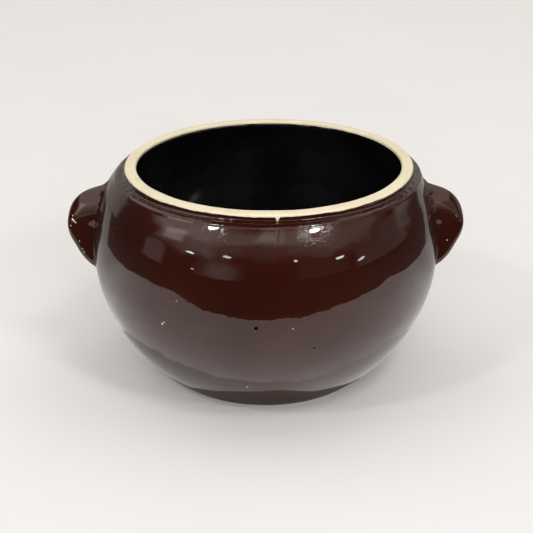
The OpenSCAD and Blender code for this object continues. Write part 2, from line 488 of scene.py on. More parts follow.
def off_seam(azimuth, radius):
    """Signed distance round the bowl from the mould seam."""
    return np.radians(away(azimuth, SEAM_AZIMUTH)) * radius


def glaze_edge(azimuth):
    """Where the glaze stops under the rim, as a profile length: ragged, and notched at the seam."""
    stop = outside.length_at(RIM_R, HEIGHT - BARE_RIM_H + GLAZE_RISE)
    ragged = EDGE_RAGGED * uneven(turn(RIM_R, HEIGHT, azimuth), *EDGE_WAVES, seed=21)
    notch = NOTCH_DEPTH * np.clip(1 - np.abs(off_seam(azimuth, RIM_R)) / NOTCH_HALF_W, 0, 1)
    return stop + ragged - notch


def rolled(to_edge):
    """Share of the full coat that is left near its rounded edge."""
    roll = np.clip(1 - to_edge / EDGE_ROLL, 0, 1)
    return np.sqrt(1 - ROLL_FULL * roll**2)


def dent(points, centre, radius, depth):
    gap = np.linalg.norm(points - np.array(centre), axis=-1)
    return depth * (1 - smooth_step(DENT_FLOOR * radius, radius, gap))


def coat_lengths(stop):
    """Lengths along the profile for the coat's rows and columns, and the number of rows below the neck."""
    pit_length = outside.length_at(BELLY_R, PIT_CENTRE[2])
    pit_rows = pit_length + np.arange(-PIT_ROWS_REACH, PIT_ROWS_REACH, FINE_ROW)
    body_rows = np.union1d(np.linspace(0, SHOULDER_END, int(SHOULDER_END / ROW_STEP)), pit_rows)
    wide_rows = np.linspace(0, TOP_SHARE, TOP_ROWS, endpoint=False)
    top_rows = np.concatenate([wide_rows, np.linspace(TOP_SHARE, 1, EDGE_ROWS)])[1:]
    top = SHOULDER_END + top_rows[:, None] * (stop - SHOULDER_END)[None, :]
    return np.vstack([np.tile(body_rows[:, None], (1, len(stop))), top]), len(body_rows)


def coat_thinning(points, lengths, stop):
    """What the coat lacks of its full thickness: waves, runs at the neck, marks and a rounded edge."""
    thin = WAVINESS * (1 + waves(points, COAT_WAVE, seed=5)) / 2 + SEAM_RIDGE
    at_neck = 1 - smooth_step(NECK_CORE * NECK_REACH, NECK_REACH, np.abs(lengths - NECK))
    thin = thin + NECK_RUN * at_neck * uneven(points, *NECK_WAVES, seed=6)
    on_lug = smooth_step(BELLY_R - LUG_BLEND, BELLY_R + LUG_BLEND, np.abs(points[..., 0]))
    thin = thin * (1 - LUG_COVER * on_lug)
    from_seam = off_seam(COLUMNS, np.hypot(points[..., 0], points[..., 1]))
    thin = thin - SEAM_RIDGE * np.exp(-((from_seam / SEAM_RIDGE_W) ** 2))
    thin = thin + dent(points, CHIP_CENTRE, CHIP_R, CHIP_DEPTH) + dent(points, PIT_CENTRE, PIT_R, PIT_DEPTH)
    return np.maximum(np.minimum(thin, MOST_THIN), FULL_COAT * (1 - rolled(stop[None, :] - lengths)))


def make_glaze_coat():
    stop = glaze_edge(COLUMNS)
    lengths, body_count = coat_lengths(stop)
    r, z, facing_r, facing_z = outside.softened(GLAZE_T, NECK, NECK_REACH, NECK_BLUR).at(lengths)
    points = turn(r, z, COLUMNS)
    facing = turn(facing_r, facing_z, COLUMNS)
    near = np.abs(np.abs(away(COLUMNS, 90)) - 90) <= LUG_SPAN
    grown = grow_lugs(points[:body_count, near])
    points[:body_count, near] = grown
    facing[:body_count, near] = skin_facing(grown)
    outer = points - coat_thinning(points, lengths, stop)[..., None] * facing
    pick = np.unique(np.concatenate([np.arange(0, len(lengths), HIDDEN_ROW_STEP), [len(lengths) - 1]]))
    inner = (points - FULL_COAT * facing)[pick][::-1]
    return build_mesh("glaze_coat", drift(np.vstack([outer, inner])))


# Bare clay bowl with its wiped rim
BOWL_COLUMNS = np.arange(0, 360, 0.5)
UNDER_ROWS = 26
WALL_ROWS = 36
COLLAR_ROWS = 40
RIM_ROWS = 44
CAVITY_ROWS = 36
WIPE_BEGIN = HEIGHT - 2.4
WIPE_FULL = HEIGHT - 0.4
RIM_GROOVE = 0.035
GROOVE_PITCH = 1.15
GROOVE_SHAKE = 2
GROOVE_WAVE = 3
GROOVE_STRETCH = np.array([0.05, 0.05, 1])
RIM_WEAR = 0.3
WEAR_WAVE = 30
RIM_SLOPE = 0.09


def make_clay_bowl():
    under = np.linspace(0, underside.length, UNDER_ROWS)[1:]
    collar = np.linspace(SHOULDER_END, outside.length, COLLAR_ROWS)[1:]
    wall = np.concatenate([np.linspace(0, SHOULDER_END, WALL_ROWS), collar])[1:]
    rim = np.linspace(0, rim_top.length, RIM_ROWS)[1:]
    cavity = np.linspace(inside.length, 0, CAVITY_ROWS)[1:-1]
    lines = [underside.at(under), outside.at(wall), rim_top.at(rim), inside.at(cavity)]
    r, z = (np.concatenate([line[k] for line in lines])[:, None] for k in (0, 1))
    points = turn(r, z, BOWL_COLUMNS)
    across = np.broadcast_to(r, points.shape[:2])
    shake = GROOVE_SHAKE * waves(points * GROOVE_STRETCH, GROOVE_WAVE, seed=31)
    groove = np.sin(across * 2 * np.pi / GROOVE_PITCH + shake)
    low = RIM_WEAR * (1 + waves(points, WEAR_WAVE, seed=32)) / 2 + RIM_GROOVE * (1 + groove) / 2
    low = low + RIM_SLOPE * np.clip(r - MOUTH_R - RIM_INNER_ROUND, 0, None)
    points[..., 2] -= smooth_step(WIPE_BEGIN, WIPE_FULL, points[..., 2]) * low
    poles = np.array([0, 0, FOOT_RECESS]), np.array([0, 0, inside_z])
    return build_mesh("clay_bowl", drift(points), *poles)


# Glaze lining of the cavity
LINING_COLUMNS = np.arange(0, 360, 1.0)
LINING_ROWS = 110
LINING_DROP = 0.12
LINING_RAGGED = 0.1
LINING_WAVE = 9


def make_glaze_lining():
    cavity = Profile(inside.table, straight(lip, lip + np.array([0, LINING_RISE]), along(lip_angle)))
    rows = np.linspace(cavity.length, 0, LINING_ROWS)[:-1]
    ring = turn(MOUTH_R, HEIGHT, LINING_COLUMNS)
    stop = cavity.length - LINING_DROP - LINING_RAGGED * (1 + waves(ring, LINING_WAVE, seed=41))
    lengths = rows[:, None] * (stop / cavity.length)[None, :]
    r, z, facing_r, facing_z = cavity.at(lengths)
    cover = BOND_GAP + FULL_COAT * rolled(stop[None, :] - lengths)
    shown = turn(r - cover * facing_r, z - cover * facing_z, LINING_COLUMNS)
    hidden = turn(r - BOND_GAP * facing_r, z - BOND_GAP * facing_z, LINING_COLUMNS)
    poles = np.array([0, 0, inside_z + BOND_GAP]), np.array([0, 0, inside_z + GLAZE_T])
    return build_mesh("glaze_lining", drift(np.vstack([hidden[::-1], shown])), *poles)


# Colours
def colour(r, g, b):
    return (r, g, b, 1.0)


GLAZE_DEEP = colour(0.018, 0.0026, 0.001)
GLAZE_BROWN = colour(0.023, 0.0036, 0.0015)
GLAZE_MOTTLE = colour(0.04, 0.008, 0.0035)
GLAZE_SPECK = colour(0.012, 0.005, 0.004)
GLAZE_GLEAM = colour(1.0, 0.2, 0.06)
# pale pinholes, their paleness partly a painted glint
PINHOLE_GLINT_TONE = colour(0.34, 0.28, 0.22)
BARE_TONE = colour(0.64, 0.56, 0.41)
# painted shade: the near-black of a pit's hollow
PIT_SHADE_TONE = colour(0.001, 0.001, 0.001)
CLAY_PALE = colour(0.78, 0.71, 0.52)
CLAY_STAIN = colour(0.73, 0.65, 0.455)
SLIP_PALE = colour(0.6, 0.5, 0.34)
SLIP_STAIN = colour(0.5, 0.4, 0.26)
CLAY_GRAIN = colour(0.5, 0.42, 0.28)
CLAY_SPECK = colour(0.16, 0.11, 0.075)
WIPE_TONE = colour(0.43, 0.37, 0.27)
LINING_DEEP = colour(0.003, 0.003, 0.0032)
LINING_GREY = colour(0.008, 0.008, 0.0083)
LINING_MOTTLE = colour(0.03, 0.016, 0.013)
FLOOR_PALE = colour(0.8, 0.785, 0.77)
FLOOR_PALER = colour(0.84, 0.825, 0.81)
WALL_TONE = colour(1.0, 0.98, 0.96)
CARD_TONE = colour(1.0, 0.97, 0.95)
FLAG_TONE = colour(0.025, 0.022, 0.02)
BACK_TONE = colour(0.45, 0.425, 0.4)
SHADE_TONE = colour(0.26, 0.235, 0.22)


# Node helpers
def make_material(name):
    material = bpy.data.materials.new(name)
    material.use_nodes = True
    material.node_tree.nodes.clear()
    return material, material.node_tree


def add(tree, kind, inputs=None, **settings):
    """Adds a node; a socket given as an input is linked, and any other value is set."""
    made = tree.nodes.new(kind)
    for key, value in settings.items():
        setattr(made, key, value)
    for key, value in (inputs or {}).items():
        if isinstance(value, bpy.types.NodeSocket):
            tree.links.new(value, made.inputs[key])
        else:
            made.inputs[key].default_value = value
    return made


def object_place(tree):
    return add(tree, "ShaderNodeTexCoord").outputs["Object"]


def noise(tree, vector, scale, detail=3.0, roughness=0.55):
    """Noise with a scale in cells per metre of the place that it reads."""
    inputs = {"Vector": vector, "Scale": scale, "Detail": detail, "Roughness": roughness}
    return add(tree, "ShaderNodeTexNoise", inputs).outputs["Fac"]


def math_node(tree, operation, *values, clamp=False):
    inputs = dict(enumerate(values))
    return add(tree, "ShaderNodeMath", inputs, operation=operation, use_clamp=clamp).outputs[0]


def vector_node(tree, operation, *values, output="Vector"):
    inputs = dict(enumerate(values))
    return add(tree, "ShaderNodeVectorMath", inputs, operation=operation).outputs[output]


def largest(tree, first, *others):
    for other in others:
        first = math_node(tree, "MAXIMUM", first, other)
    return first


def remap(tree, value, low, high, to_low=0.0, to_high=1.0):
    inputs = {"Value": value, "From Min": low, "From Max": high, "To Min": to_low, "To Max": to_high}
    return add(tree, "ShaderNodeMapRange", inputs, interpolation_type="SMOOTHSTEP").outputs["Result"]


def mix_colour(tree, factor, a, b):
    """Inputs 6 and 7 and output 2 of a Mix node are its colours."""
    return add(tree, "ShaderNodeMix", {0: factor, 6: a, 7: b}, data_type="RGBA").outputs[2]


def bump(tree, height, distance, strength=1.0, normal=None):
    """A bump whose distance is in metres, on top of another one where a normal is given."""
    inputs = {"Height": height, "Distance": distance, "Strength": strength}
    if normal is not None:
        inputs["Normal"] = normal
    return add(tree, "ShaderNodeBump", inputs).outputs["Normal"]


def specks(tree, place, scale, above, inner, outer):
    """A mask of round specks, one in each cell whose random number is above a value."""
    cells = add(tree, "ShaderNodeTexVoronoi", {"Vector": place, "Scale": scale}).outputs
    draw = add(tree, "ShaderNodeSeparateColor", {"Color": cells["Color"]}).outputs[0]
    chosen = math_node(tree, "GREATER_THAN", draw, above)
    return math_node(tree, "MULTIPLY", remap(tree, cells["Distance"], inner, outer, 1.0, 0.0), chosen)


SPOT_SHAKE = 0.9
SPOT_INNER = 1.3
SPOT_OUTER = 1.6


def spot(tree, place, centre, radius, ragged):
    """A mask of 1 near a point given in millimetres, with a ragged border."""
    size = radius * MM
    gap = vector_node(tree, "DISTANCE", place, tuple(c * MM for c in centre), output="Value")
    gap = math_node(tree, "ADD", gap, math_node(tree, "MULTIPLY", ragged, size * SPOT_SHAKE))
    return remap(tree, gap, size * SPOT_INNER, size * SPOT_OUTER, 1.0, 0.0)


def finish_material(tree, kind, inputs):
    out = add(tree, "ShaderNodeOutputMaterial")
    tree.links.new(add(tree, kind, inputs).outputs[0], out.inputs["Surface"])


# Brown glaze, with its marks by centre and radius in millimetres
BARE_AND_GLINT_SPOTS = [
    (CHIP_CENTRE, CHIP_R * CHIP_BARE_SHARE),
    ((5.6, -90.1, 125.6), 0.5),
    ((8.3, -90.0, 125.4), 0.45),
    ((-113.6, -7.0, 99.8), 0.28),
    ((-111.8, -8.9, 96.2), 0.3),
    ((-114.7, -7.7, 98.0), 0.32),
    ((-114.8, -8.6, 94.1), 0.26),
    ((-112.8, -8.6, 97.1), 0.36),
    ((-110.0, -10.4, 85.0), 0.18),
    ((-108.3, -11.1, 80.3), 0.2),
    ((-107.3, -11.4, 78.4), 0.24),
    ((107.0, -10.8, 84.5), 0.24),
    ((-57.4, -82.8, 64.6), 0.5),
    ((-56.2, -83.6, 66.0), 0.3),
    ((-10.9, -82.9, 25.3), 0.45),
    ((14.5, -100.6, 69.4), 0.3),
    # painted glint: this pale spot under the pit stands in for light caught by the pit's lower lip
    ((-5.7, -101.3, 68.5), 0.25),
    ((-48.8, -89.7, 81.5), 0.3),
]
# painted shade: dark spots at the pits, where shade falls in their hollows
PIT_SHADE_SPOTS = [(PIT_CENTRE, PIT_R * PIT_SHADE_SHARE), (SMALL_PIT_CENTRE, SMALL_PIT_R)]
WORN_PLACES = [((28, -88, 119), 8.0), ((-26, -88, 119), 4.5)]
SMOOTH_PLACES = [((26.3, -87.7, 120.8), 2.3), ((-28.1, -86.0, 121.4), 3.0)]
SCRATCH_TURN = (0.5, 0.3, 0.9)
SCRATCH_STRETCH = (3000, 90, 2400)
LUMPY_NECK_Z = (122.7 * MM, 124.2 * MM)
DRY_SHOULDER_Z = (108 * MM, 119 * MM)


def brown_glaze_material():
    material, tree = make_material("brown_glaze")
    place = object_place(tree)
    broad = noise(tree, place, 26, 4)
    mottle = noise(tree, place, 420, 5, 0.62)
    tone = mix_colour(tree, remap(tree, broad, 0.3, 0.7), GLAZE_DEEP, GLAZE_BROWN)
    tone = mix_colour(tree, remap(tree, mottle, 0.5, 0.85, 0.0, 0.15), tone, GLAZE_MOTTLE)
    tone = mix_colour(tree, specks(tree, place, 150.0, 0.8, 0.05, 0.1), tone, GLAZE_SPECK)
    # Pinholes: pale specks where the coat is missing, partly painted glints of light caught at their rims
    pinhole_and_glint = specks(tree, place, 95.0, 0.86, 0.016, 0.03)
    tone = mix_colour(tree, math_node(tree, "MULTIPLY", pinhole_and_glint, 0.8), tone, PINHOLE_GLINT_TONE)
    # Spots without glaze, one of them a painted glint under the pit, and pits painted near black as painted
    # shade in their hollows, with ragged borders
    ragged = math_node(tree, "SUBTRACT", noise(tree, place, 900, 3, 0.7), 0.5)
    bare_and_glint = largest(tree, *(spot(tree, place, *mark, ragged) for mark in BARE_AND_GLINT_SPOTS))
    tone = mix_colour(tree, bare_and_glint, tone, BARE_TONE)
    pit_shade = largest(tree, *(spot(tree, place, *mark, ragged) for mark in PIT_SHADE_SPOTS))
    tone = mix_colour(tree, pit_shade, tone, PIT_SHADE_TONE)
    # Fine hairline scratches in patches
    inputs = {"Vector": place, "Rotation": SCRATCH_TURN, "Scale": SCRATCH_STRETCH}
    lines = noise(tree, add(tree, "ShaderNodeMapping", inputs).outputs["Vector"], 1.0, 2, 0.5)
    patches = remap(tree, noise(tree, place, 55, 3), 0.5, 0.68)
    scratch = math_node(tree, "MULTIPLY", remap(tree, lines, 0.63, 0.74), patches)
    rough = math_node(tree, "MULTIPLY_ADD", scratch, 0.25, remap(tree, mottle, 0.3, 0.8, 0.45, 0.51))
    rough = math_node(tree, "MAXIMUM", rough, math_node(tree, "MULTIPLY", bare_and_glint, 0.8))
    # Relief: slow swells, a fine peel, lumps at the neck, and wrinkles where the shoulder is dry and worn
    swell = bump(tree, noise(tree, place, 45, 2), 0.0006, 0.25)
    peel = bump(tree, noise(tree, place, 300, 1, 0.5), 0.00003, 0.3, swell)
    height = add(tree, "ShaderNodeSeparateXYZ", {0: place}).outputs["Z"]
    at_neck = remap(tree, height, *LUMPY_NECK_Z)
    lumps = math_node(tree, "MULTIPLY", noise(tree, place, 170, 2, 0.5), at_neck)
    peel = bump(tree, lumps, 0.0009, 0.55, peel)
    dry = remap(tree, noise(tree, place, 42, 2), 0.4, 0.6, 0.05, 0.3)
    dry = math_node(tree, "MULTIPLY", remap(tree, height, *DRY_SHOULDER_Z), dry)
    patchy = math_node(tree, "SUBTRACT", noise(tree, place, 130, 3), 0.5)
    dry = largest(tree, dry, *(spot(tree, place, *mark, patchy) for mark in WORN_PLACES))
    for mark in SMOOTH_PLACES:
        dry = math_node(tree, "SUBTRACT", dry, spot(tree, place, *mark, patchy), clamp=True)
    curl = math_node(tree, "ABSOLUTE", math_node(tree, "SUBTRACT", noise(tree, place, 460, 3, 0.6), 0.5))
    wrinkle = math_node(tree, "MULTIPLY", remap(tree, curl, 0.0, 0.16, 1.0, 0.0), dry)
    peel = bump(tree, math_node(tree, "SUBTRACT", 1.0, wrinkle), 0.00003, 1.0, peel)
    gone = math_node(tree, "MAXIMUM", bare_and_glint, pit_shade)
    sunken = math_node(tree, "MAXIMUM", math_node(tree, "MULTIPLY", scratch, 0.08), gone)
    peel = bump(tree, math_node(tree, "SUBTRACT", 1.0, sunken), 0.00015, 0.5, peel)
    uncoated = math_node(tree, "MAXIMUM", gone, pinhole_and_glint)
    finish_material(
        tree,
        "ShaderNodeBsdfPrincipled",
        {
            "Base Color": tone,
            "Roughness": rough,
            "IOR": 1.5,
            "Specular IOR Level": math_node(tree, "MULTIPLY_ADD", pit_shade, -0.2, 0.2),
            "Specular Tint": GLAZE_GLEAM,
            "Normal": swell,
            "Coat Weight": math_node(tree, "SUBTRACT", 1.0, uncoated),
            "Coat Roughness": 0.035,
            "Coat IOR": 1.65,
            "Coat Normal": peel,
        },
    )
    return material


# Clay, with wipe marks stretched by radius, turn and height
STREAK_STRETCH = (1500.0, 7.0, 900.0)


def clay_material(name, body, stain, streaked):
    """Fired stoneware: a sandy body with dark grains, and wipe marks that run round if it is streaked."""
    material, tree = make_material(name)
    place = object_place(tree)
    broad = noise(tree, place, 40, 4)
    grain = noise(tree, place, 1500, 4, 0.7)
    tone = mix_colour(tree, remap(tree, broad, 0.35, 0.75), body, stain)
    tone = mix_colour(tree, remap(tree, grain, 0.55, 0.85, 0.0, 0.35), tone, CLAY_GRAIN)
    speck = specks(tree, place, 420.0, 0.86, 0.09, 0.18)
    tone = mix_colour(tree, math_node(tree, "MULTIPLY", speck, 0.8), tone, CLAY_SPECK)
    height = grain
    if streaked:
        parts = add(tree, "ShaderNodeSeparateXYZ", {0: place}).outputs
        flat = add(tree, "ShaderNodeCombineXYZ", {"X": parts["X"], "Y": parts["Y"]}).outputs[0]
        radius = vector_node(tree, "LENGTH", flat, output="Value")
        round_way = math_node(tree, "ARCTAN2", parts["Y"], parts["X"])
        ways = zip("XYZ", (radius, round_way, parts["Z"]), STREAK_STRETCH)
        turned = {axis: math_node(tree, "MULTIPLY", way, stretch) for axis, way, stretch in ways}
        streak = noise(tree, add(tree, "ShaderNodeCombineXYZ", turned).outputs[0], 1.0, 3, 0.6)
        tone = mix_colour(tree, remap(tree, streak, 0.56, 0.72, 0.0, 0.55), tone, WIPE_TONE)
        height = math_node(tree, "SUBTRACT", height, math_node(tree, "MULTIPLY", streak, 0.8))
    finish_material(
        tree,
        "ShaderNodeBsdfPrincipled",
        {
            "Base Color": tone,
            "Roughness": remap(tree, grain, 0.3, 0.8, 0.62, 0.85),
            "IOR": 1.45,
            "Specular IOR Level": 0.3,
            "Normal": bump(tree, height, 0.00012, 0.45),
        },
    )
    return material


# Dark glaze of the lining
def dark_glaze_material():
    material, tree = make_material("dark_glaze")
    place = object_place(tree)
    broad = noise(tree, place, 30, 4)
    mottle = noise(tree, place, 380, 4, 0.6)
    tone = mix_colour(tree, remap(tree, broad, 0.3, 0.7), LINING_DEEP, LINING_GREY)
    tone = mix_colour(tree, remap(tree, mottle, 0.55, 0.85, 0.0, 0.5), tone, LINING_MOTTLE)
    swell = bump(tree, noise(tree, place, 60, 2), 0.0006, 0.3)
    finish_material(
        tree,
        "ShaderNodeBsdfPrincipled",
        {
            "Base Color": tone,
            "Roughness": remap(tree, mottle, 0.3, 0.8, 0.07, 0.16),
            "IOR": 1.5,
            "Normal": bump(tree, noise(tree, place, 520, 2, 0.5), 0.00006, 0.3, swell),
        },
    )
    return material


# Materials of the stage
STAGE_ROUGHNESS = 0.9


def floor_material():
    material, tree = make_material("pale_floor")
    tone = mix_colour(tree, noise(tree, object_place(tree), 7, 3), FLOOR_PALE, FLOOR_PALER)
    inputs = {"Base Color": tone, "Roughness": STAGE_ROUGHNESS, "Specular IOR Level": 0.1}
    finish_material(tree, "ShaderNodeBsdfPrincipled", inputs)
    return material


def wall_material():
    material, tree = make_material("pale_wall")
    glow = remap(tree, noise(tree, object_place(tree), 0.6, 2), 0.3, 0.7, 0.5, 0.58)
    finish_material(tree, "ShaderNodeEmission", {"Color": WALL_TONE, "Strength": glow})
    return material


def plain_material(name, tone):
    material, tree = make_material(name)
    inputs = {"Base Color": tone, "Roughness": STAGE_ROUGHNESS, "Specular IOR Level": 0.0}
    finish_material(tree, "ShaderNodeBsdfPrincipled", inputs)
    return material


# Glow of the card that paints the reflection of a lit table, and the painted shadow of the bowl on it
CARD_GLOW = 0.8
CARD_UNEVEN = 0.08
BOWL_SHADOW_R = 0.093
BOWL_SHADOW_SOFT = 0.0015
BOWL_SHADOW_SHAKE = 0.016
BOWL_SHADOW_STRETCH = (0.85, 1.1, 0.0)
BOWL_SHADOW_SIDES = (-0.06, 0.06)
BOWL_SHADOW_DEPTHS = (0.46, 0.24)
CARD_BACK = (0.02, 0.12)
CARD_BACK_GLOW = 0.65


def table_reflection_material():
    """Painted reflection: a glowing sheet that stands in for a lit pale cloth table with soft folds, seen
    only in the gloss; inside one round line near the bowl it is darker as a painted shadow of the bowl,
    deeper on the left, and it is dimmer behind.
    """
    material, tree = make_material("painted_table_reflection")
    place = object_place(tree)
    drape = noise(tree, place, 7, 3)
    radius = vector_node(tree, "LENGTH", vector_node(tree, "MULTIPLY", place, BOWL_SHADOW_STRETCH), output="Value")
    shake = math_node(tree, "SUBTRACT", noise(tree, place, 32, 3), 0.5)
    radius = math_node(tree, "MULTIPLY_ADD", shake, BOWL_SHADOW_SHAKE, radius)
    under_bowl_shadow = remap(tree, radius, BOWL_SHADOW_R - BOWL_SHADOW_SOFT, BOWL_SHADOW_R + BOWL_SHADOW_SOFT, 1.0, 0.0)
    parts = add(tree, "ShaderNodeSeparateXYZ", {0: place}).outputs
    shade = math_node(tree, "MULTIPLY", under_bowl_shadow, remap(tree, parts["X"], *BOWL_SHADOW_SIDES, *BOWL_SHADOW_DEPTHS))
    behind = remap(tree, parts["Y"], *CARD_BACK, 1.0, CARD_BACK_GLOW)
    glow = remap(tree, drape, 0.35, 0.65, CARD_GLOW * (1 - CARD_UNEVEN), CARD_GLOW * (1 + CARD_UNEVEN))
    glow = math_node(tree, "MULTIPLY", glow, math_node(tree, "SUBTRACT", behind, shade))
    finish_material(tree, "ShaderNodeEmission", {"Color": CARD_TONE, "Strength": glow})
    return material


# Pieces, their bodies and their materials
glaze_coat = make_glaze_coat()
clay_bowl = make_clay_bowl()
glaze_lining = make_glaze_lining()
bare_clay = clay_material("bare_clay", CLAY_PALE, CLAY_STAIN, True)
clay_slip = clay_material("clay_slip", SLIP_PALE, SLIP_STAIN, False)
glaze_coat.data.materials.append(brown_glaze_material())
clay_bowl.data.materials.append(bare_clay)
glaze_lining.data.materials.append(dark_glaze_material())

for piece, node_name, slot_name in (
    (glaze_coat, "outer_glaze", "brown_glaze"),
    (clay_bowl, "clay_body", "bare_clay"),
    (glaze_lining, "inner_glaze", "dark_glaze"),
):
    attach(piece, "root")
    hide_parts(node_name)

for node_name, material in (
    ("left_lug", bare_clay),
    ("right_lug", bare_clay),
    ("left_lug_slip", clay_slip),
    ("right_lug_slip", clay_slip),
):
    node_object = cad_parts[node_name]
    for slot in node_object.material_slots:
        slot.material = material

# Floor, and a round pale wall that only the camera sees
FLOOR_HALF = 5.0
BACKDROP_R = 4.9
BACKDROP_H = 6.0
BACKDROP_TURN = np.arange(0, 360, 6.0)


def outlined_sheet(name, outline, material):
    """A flat sheet on the stage, from an outline in metres."""
    mesh = bpy.data.meshes.new(name)
    mesh.from_pydata(outline, [], [tuple(range(len(outline)))])
    mesh.materials.append(material)
    sheet = add_object(name, mesh)
    return sheet


def flat_sheet(name, x0, x1, y0, y1, z, material):
    return outlined_sheet(name, [(x0, y0, z), (x1, y0, z), (x1, y1, z), (x0, y1, z)], material)


def make_backdrop():
    ways = along(BACKDROP_TURN) * BACKDROP_R
    count = len(ways)
    points = [(x, y, z) for z in (0.0, BACKDROP_H) for x, y in ways.tolist()]
    faces = [(k, (k + 1) % count, count + (k + 1) % count, count + k) for k in range(count)]
    mesh = bpy.data.meshes.new("backdrop")
    mesh.from_pydata(points, [], faces)
    mesh.materials.append(wall_material())
    wall = add_object("backdrop", mesh)
    wall.visible_diffuse = False
    wall.visible_glossy = False
    wall.visible_shadow = False


flat_sheet("floor", -FLOOR_HALF, FLOOR_HALF, -FLOOR_HALF, FLOOR_HALF, 0.0, floor_material())
make_backdrop()

# Dark flags, a painted shadow patch under the bowl and a glowing card that paints the reflection of a lit
# cloth table, on the floor, seen only in the gloss
# Painted shadow under the bowl: its radius, its bulge in front and its ragged edge
SHADE_R = 64.5
SHADE_BULGE = 10.5
SHADE_BULGE_POWER = 6
SHADE_RAGGED = 1.2
SHADE_WAVE = 30
SHADE_TURN = np.arange(0, 360, 3.0)
TABLE_LEFT = -0.42
TABLE_RIGHT = 0.385
TABLE_FRONT = -0.228
TABLE_BACK = 0.2
LEFT_SLANT = 0.8
RIGHT_SLANT = 1.0
FLAG_REACH = FLOOR_HALF
FLAG_LIFT = 0.0004
CARD_LIFT = 0.0002
BACK_LIFT = (FLAG_LIFT + CARD_LIFT) / 2
BORDER_POINTS = 300
BORDER_FADE = 0.08
BORDER_WAVE = 60
BORDER_SWAY = 7.0
BORDER_RIPPLE = 11
BORDER_SHAKE = 4.0
CORNER_RIGHT = 0.14
CORNER_RIGHT_SPAN = (0.15, 0.45)
CORNER_LEFT = 0.1
CORNER_LEFT_SPAN = (0.3, 0.42)


def front_outline():
    """The front flag, with a wavy border, and cut corners, where the bowl mirrors it."""
    x = np.linspace(TABLE_RIGHT, TABLE_LEFT, BORDER_POINTS)
    border = np.stack([x / MM, 0 * x, 0 * x], axis=-1)
    fade = smooth_step(TABLE_LEFT, TABLE_LEFT + BORDER_FADE, x)
    fade = fade * (1 - smooth_step(TABLE_RIGHT - BORDER_FADE, TABLE_RIGHT, x))
    sway = BORDER_SWAY * waves(border, BORDER_WAVE, seed=52)
    y = TABLE_FRONT + MM * fade * (sway + BORDER_SHAKE * waves(border, BORDER_RIPPLE, seed=53))
    y = y + CORNER_RIGHT * smooth_step(*CORNER_RIGHT_SPAN, x)
    y = y + CORNER_LEFT * smooth_step(*CORNER_LEFT_SPAN, -x)
    line = [(FLAG_REACH, TABLE_FRONT), (TABLE_RIGHT, TABLE_FRONT), *zip(x.tolist(), y.tolist())]
    line += [(TABLE_LEFT, TABLE_FRONT), (-FLAG_REACH, TABLE_FRONT)]
    line += [(-FLAG_REACH, -FLAG_REACH), (FLAG_REACH, -FLAG_REACH)]
    return [(*at, FLAG_LIFT) for at in line]


def side_outline(side, edge, slant):
    far = side * FLAG_REACH
    corners = [(edge, TABLE_FRONT), (far, TABLE_FRONT), (far, FLAG_REACH * slant), (edge, TABLE_BACK)]
    return [(*at, FLAG_LIFT) for at in corners[::side]]


def shade_outline():
    """Painted shadow: a dark round patch under the bowl, where its shade falls, wider in front."""
    frontward = np.clip(-np.sin(np.radians(SHADE_TURN)), 0, 1) ** SHADE_BULGE_POWER
    ragged = SHADE_RAGGED * waves(turn(SHADE_R, 0, SHADE_TURN), SHADE_WAVE, seed=51)
    radius = SHADE_R + SHADE_BULGE * frontward + ragged
    return [tuple(at) for at in (turn(radius, FLAG_LIFT / MM, SHADE_TURN) * MM).tolist()]


flag_paint = plain_material("flag_paint", FLAG_TONE)
back_paint = plain_material("back_paint", BACK_TONE)
shade_paint = plain_material("shade_paint", SHADE_TONE)
for sheet in (
    outlined_sheet("flag_left", side_outline(-1, TABLE_LEFT, LEFT_SLANT), flag_paint),
    outlined_sheet("flag_right", side_outline(1, TABLE_RIGHT, RIGHT_SLANT), flag_paint),
    # painted reflection: a glowing card in place of a lit cloth table, with the bowl's painted shadow
    flat_sheet("table_reflection_card", TABLE_LEFT, TABLE_RIGHT, TABLE_FRONT, TABLE_BACK, CARD_LIFT, table_reflection_material()),
    outlined_sheet("flag_front", front_outline(), flag_paint),
    flat_sheet("flag_back", -FLAG_REACH, FLAG_REACH, TABLE_BACK, FLAG_REACH, BACK_LIFT, back_paint),
    # painted shadow: a dark patch where the bowl shades the floor, seen only in the gloss
    outlined_sheet("painted_shadow_under", shade_outline(), shade_paint),
):
    sheet.visible_camera = False
    sheet.visible_diffuse = False
    sheet.visible_shadow = False


# Room: dim, with soft pale panes by azimuth from the front, elevation and softness in degrees, and radiance
ROOM_DIM = 0.02
ROOM_TONE = colour(1.0, 0.94, 0.88)
ROOM_WOBBLE = 0.24
CLOUD_SCALE = 3.2
CLOUD_DETAIL = 5.0
PANES = [
    ((-57, 55), (16, 50), 5, 0.2),
    ((-60, 32), (28, 42), 3, 0.4),
    ((-9, 14), (32, 46), 4, 0.75),
    ((-84, -36), (12, 34), 3, 0.4),
    ((-77, -61), (19, 34), 2, 1.2),
    ((-87, -71), (-11, 9), 2, 0.32),
    ((-38, -18), (-3, 9), 5, 0.34),
    ((-46, -24), (-24, 16), 3, 0.11),
    ((20, 56), (-26, 16), 3, 0.06),
    ((36, 84), (14, 34), 3, 0.3),
    ((63, 106), (-13, 9), 3, 0.18),
    ((55, 92), (9, 26), 3, 0.12),
    ((-150, -58), (30, 65), 4, 0.9),
    ((42, 150), (36, 65), 4, 0.8),
    ((102, 178), (3, 30), 3, 0.42),
    ((-57, -36), (36, 52), 6, 0.6),
    ((26, 48), (27, 43), 6, 0.6),
    ((17, 36), (18, 34), 4, 0.14),
    ((-36, -17), (18, 34), 4, 0.1),
    ((-178, -122), (-16, 30), 3, 0.35),
]


